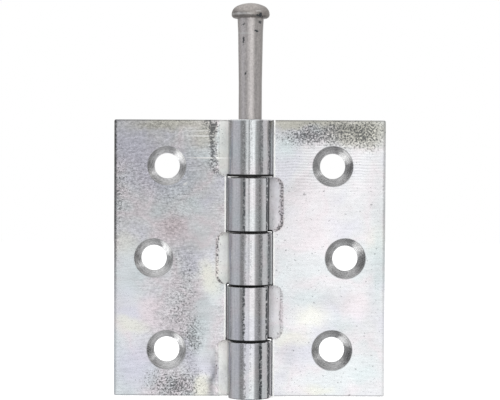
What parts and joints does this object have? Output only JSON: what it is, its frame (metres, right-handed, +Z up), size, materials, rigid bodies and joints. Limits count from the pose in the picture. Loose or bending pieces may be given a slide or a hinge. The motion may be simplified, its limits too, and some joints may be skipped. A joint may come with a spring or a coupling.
{
  "type": "loose pin butt hinge",
  "caption": "Loose-pin butt hinge: two rolled sheet-steel leaves with countersunk screw holes, pin drawn part of the way out.",
  "frame": {"origin": "on the pin axis, level with the foot of the barrel and the leaves' lower edge", "axes": "+Z up along the pin, +X from the pin towards the swing leaf, +Y towards the face that the hinge is screwed to, so the countersunk faces look along -Y"},
  "size_m": [0.0588, 0.0098, 0.0851],
  "materials": {
    "leaf_steel": "bright zinc plated, clear passivated",
    "pin_steel": "dull zinc plated wire"
  },
  "bodies": {
    "frame_leaf": {"frame_leaf": "leaf_steel"},
    "swing_leaf": {"swing_leaf": "leaf_steel"},
    "hinge_pin": {"hinge_pin": "pin_steel"}
  },
  "joints": [
    {"name": "leaf_swing", "type": "hinge", "parent": "frame_leaf", "child": "swing_leaf", "pos_m": [0, 0, 0], "axis": [0, 0, 1], "range_deg": [-180, 90]},
    {"name": "pin_slide", "type": "slide", "parent": "frame_leaf", "child": "hinge_pin", "axis": [0, 0, 1], "range_m": [-0.0218, 0.0384]}
  ]
}
